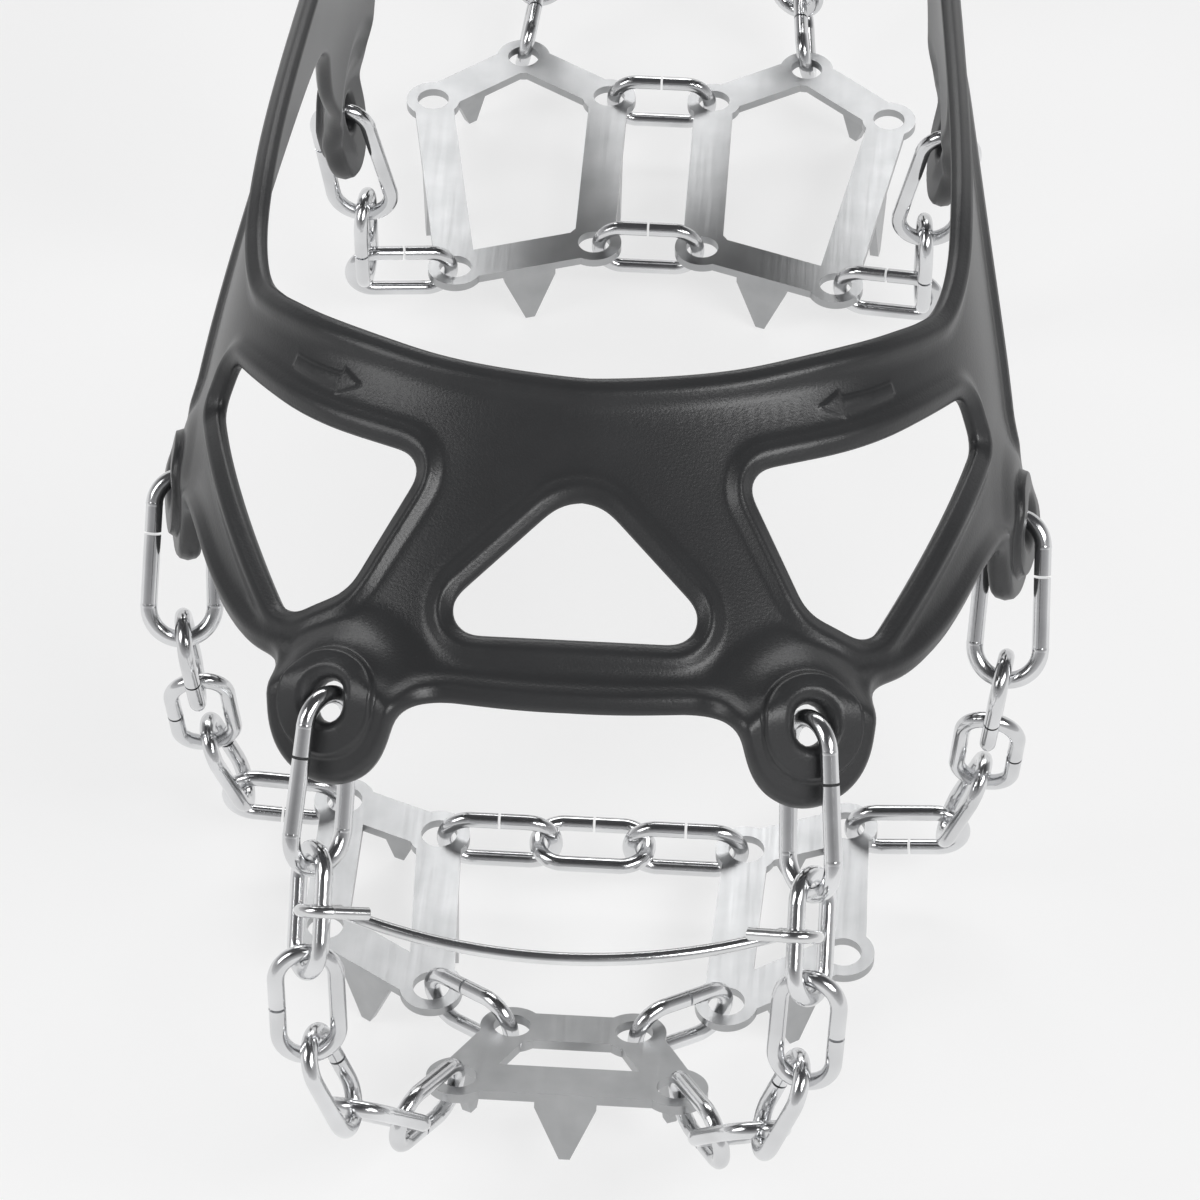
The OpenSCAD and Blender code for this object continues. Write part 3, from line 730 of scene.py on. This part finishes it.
def sheet_material():
    m, t, b = new_material("stamped_sheet_steel")
    b.inputs["Metallic"].default_value = 1.0
    co = node(t, "ShaderNodeTexCoord")
    squeeze = node(t, "ShaderNodeMapping")
    squeeze.inputs["Scale"].default_value = (900.0, 40.0, 200.0)
    brush = node(t, "ShaderNodeTexNoise", in_Scale=1.0, in_Detail=4.0, in_Roughness=0.65)
    spots = node(t, "ShaderNodeTexNoise", in_Scale=160.0, in_Detail=3.0)
    t.links.new(co.outputs["Object"], squeeze.inputs["Vector"])
    t.links.new(squeeze.outputs["Vector"], brush.inputs["Vector"])
    t.links.new(co.outputs["Object"], spots.inputs["Vector"])
    ramp = node(t, "ShaderNodeValToRGB")
    ramp.color_ramp.elements[0].color = (0.34, 0.345, 0.35, 1)
    ramp.color_ramp.elements[1].color = (0.51, 0.515, 0.52, 1)
    t.links.new(spots.outputs["Fac"], ramp.inputs["Fac"])
    t.links.new(ramp.outputs["Color"], b.inputs["Base Color"])
    rough = node(t, "ShaderNodeMapRange")
    rough.inputs["To Min"].default_value, rough.inputs["To Max"].default_value = 0.24, 0.42
    t.links.new(brush.outputs["Fac"], rough.inputs["Value"])
    t.links.new(rough.outputs["Result"], b.inputs["Roughness"])
    bump = node(t, "ShaderNodeBump", in_Strength=0.2, in_Distance=0.0001)
    t.links.new(brush.outputs["Fac"], bump.inputs["Height"])
    t.links.new(bump.outputs["Normal"], b.inputs["Normal"])
    return m


def shade_node(ob, mat):
    ob.data.materials.clear()
    ob.data.materials.append(mat)


RUBBER = rubber_material()
WIRE = wire_material("polished_wire", (0.80, 0.805, 0.815), 0.10, 0.22, 900.0)
BAR = wire_material("toe_bar_wire", (0.82, 0.825, 0.83), 0.12, 0.26, 1200.0)
SHEET = sheet_material()

harness = build_harness()
harness.data.materials.append(RUBBER)
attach(harness, "harness")
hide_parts("harness")

for name, ob in NODES.items():
    if name == "harness":
        shade_node(ob, RUBBER)
    elif name == "toe_bar":
        shade_node(ob, BAR)
    elif "plate" in name:
        shade_node(ob, SHEET)
    else:
        shade_node(ob, WIRE)

# ---------------------------------------------------------------- floor, backdrop and light
FLOOR_Z = CAD_BOX[0].z - 0.0005


def stage_material():
    """Pale floor that keeps the shadow and looks near white to the lens and in the metal."""
    m = bpy.data.materials.new("pale_stage")
    m.use_nodes = True
    t = m.node_tree
    t.nodes.clear()
    out = t.nodes.new("ShaderNodeOutputMaterial")
    shade = t.nodes.new("ShaderNodeBsdfDiffuse")
    shade.inputs["Color"].default_value = (0.88, 0.88, 0.88, 1)
    glow = t.nodes.new("ShaderNodeEmission")
    glow.inputs["Color"].default_value = (1, 1, 1, 1)
    path = t.nodes.new("ShaderNodeLightPath")
    both = node(t, "ShaderNodeMath", operation="ADD")
    every = node(t, "ShaderNodeMath", operation="ADD", use_clamp=True)
    part = node(t, "ShaderNodeMath", operation="MULTIPLY")
    part.inputs[1].default_value = 0.7
    mix = t.nodes.new("ShaderNodeMixShader")
    t.links.new(path.outputs["Is Camera Ray"], both.inputs[0])
    t.links.new(path.outputs["Is Glossy Ray"], both.inputs[1])
    t.links.new(both.outputs[0], every.inputs[0])
    t.links.new(path.outputs["Is Transmission Ray"], every.inputs[1])
    t.links.new(every.outputs[0], part.inputs[0])
    t.links.new(part.outputs[0], mix.inputs[0])
    t.links.new(shade.outputs[0], mix.inputs[1])
    t.links.new(glow.outputs[0], mix.inputs[2])
    t.links.new(mix.outputs[0], out.inputs["Surface"])
    return m


def make_world():
    """Soft studio: pale towards the horizon, darker overhead."""
    world = bpy.data.worlds.new("world")
    scene.world = world
    world.use_nodes = True
    t = world.node_tree
    co = node(t, "ShaderNodeTexCoord")
    part = node(t, "ShaderNodeSeparateXYZ")
    ramp = node(t, "ShaderNodeValToRGB")
    e = ramp.color_ramp.elements
    e[0].position, e[0].color = 0.05, (0.85, 0.85, 0.86, 1)
    e[1].position, e[1].color = 0.75, (0.10, 0.10, 0.105, 1)
    t.links.new(co.outputs["Generated"], part.inputs[0])
    t.links.new(part.outputs["Z"], ramp.inputs["Fac"])
    t.links.new(ramp.outputs["Color"], t.nodes["Background"].inputs["Color"])
    t.nodes["Background"].inputs["Strength"].default_value = 0.7


def make_stage():
    me = bpy.data.meshes.new("floor")
    w, d, r, top = 3.0, 3.0, 0.8, 2.2
    profile = [(-d, 0.0), (d - r, 0.0)]
    profile += [(d - r + r * math.sin(a), r - r * math.cos(a)) for a in np.linspace(0.1, math.pi / 2, 14)]
    profile.append((d, top))
    co, fa = [], []
    for y, z in profile:
        co += [(-w, y, FLOOR_Z + z), (w, y, FLOOR_Z + z)]
    for k in range(len(profile) - 1):
        fa.append((2 * k, 2 * k + 1, 2 * k + 3, 2 * k + 2))
    me.from_pydata(co, [], fa)
    me.shade_smooth()
    me.materials.append(stage_material())
    ob = bpy.data.objects.new("floor", me)
    scene.collection.objects.link(ob)


def area_light(name, at, target, size, power):
    data = bpy.data.lights.new(name, "AREA")
    data.shape = "RECTANGLE"
    data.size, data.size_y = size
    data.energy = power
    ob = bpy.data.objects.new(name, data)
    ob.location = at
    ob.rotation_mode = "QUATERNION"
    ob.rotation_quaternion = (Vector(target) - Vector(at)).to_track_quat("-Z", "Y")
    scene.collection.objects.link(ob)


make_stage()
area_light("key", (0.75, -0.75, 1.05), (0, -0.05, 0.04), (0.9, 0.5), 11)
area_light("fill", (-0.95, -0.45, 0.95), (0, -0.05, 0.04), (0.5, 0.8), 5)
area_light("back", (-0.1, 1.1, 1.1), (0, 0, 0.04), (1.2, 0.4), 6)
make_world()
scene.view_settings.view_transform = "Standard"
